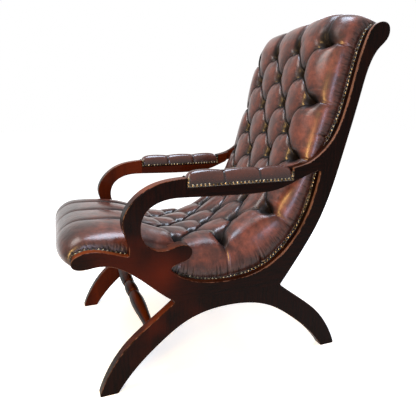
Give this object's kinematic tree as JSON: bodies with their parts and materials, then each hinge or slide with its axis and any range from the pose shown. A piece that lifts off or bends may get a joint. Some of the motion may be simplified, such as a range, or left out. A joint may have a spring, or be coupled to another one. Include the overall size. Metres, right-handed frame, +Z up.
{
  "type": "leather library armchair",
  "caption": "Show-wood library armchair with a reclined scroll back, deep-buttoned leather seat and back, padded scroll arms and arched side legs.",
  "frame": {"origin": "centre of the chair's footprint on the floor, at the bottom centre of its bounding box", "axes": "+Z up, -Y towards the front of the seat, +X towards the sitter's left"},
  "size_m": [0.6096, 0.9478, 1.0355],
  "materials": {
    "dark_wood": "satin polish over red-brown mahogany",
    "antiqued_leather": "glossy antiqued hide",
    "nail_brass": "aged, softly polished",
    "stuffing": "hair and cotton wadding",
    "webbing": "woven jute",
    "black_lining": "plain black cloth",
    "dowel_wood": "plain beech"
  },
  "bodies": {
    "root": {"arm_pad_buttons_left": "antiqued_leather", "arm_pad_buttons_right": "antiqued_leather", "arm_pad_filling_left": "stuffing", "arm_pad_filling_right": "stuffing", "arm_pad_leather_left": "antiqued_leather", "arm_pad_leather_right": "antiqued_leather", "arm_pad_nails_left": "nail_brass", "arm_pad_nails_right": "nail_brass", "arm_rest_left": "dark_wood", "arm_rest_right": "dark_wood", "arm_scroll_left": "dark_wood", "arm_scroll_right": "dark_wood", "back_post_left": "dark_wood", "back_post_right": "dark_wood", "bottom_lining": "black_lining", "edge_nails_left": "nail_brass", "edge_nails_right": "nail_brass", "frame_dowels": "dowel_wood", "front_cross_rail": "dark_wood", "front_leg_left": "dark_wood", "front_leg_right": "dark_wood", "front_stretcher": "dark_wood", "lower_back_cross_rail": "dark_wood", "outside_back_leather": "antiqued_leather", "rear_leg_left": "dark_wood", "rear_leg_right": "dark_wood", "rear_stretcher": "dark_wood", "seat_back_leather": "antiqued_leather", "seat_back_stuffing": "stuffing", "seat_rail_left": "dark_wood", "seat_rail_right": "dark_wood", "top_cross_rail": "dark_wood", "tuft_buttons": "antiqued_leather", "webbing_straps": "webbing"}
  },
  "joints": []
}
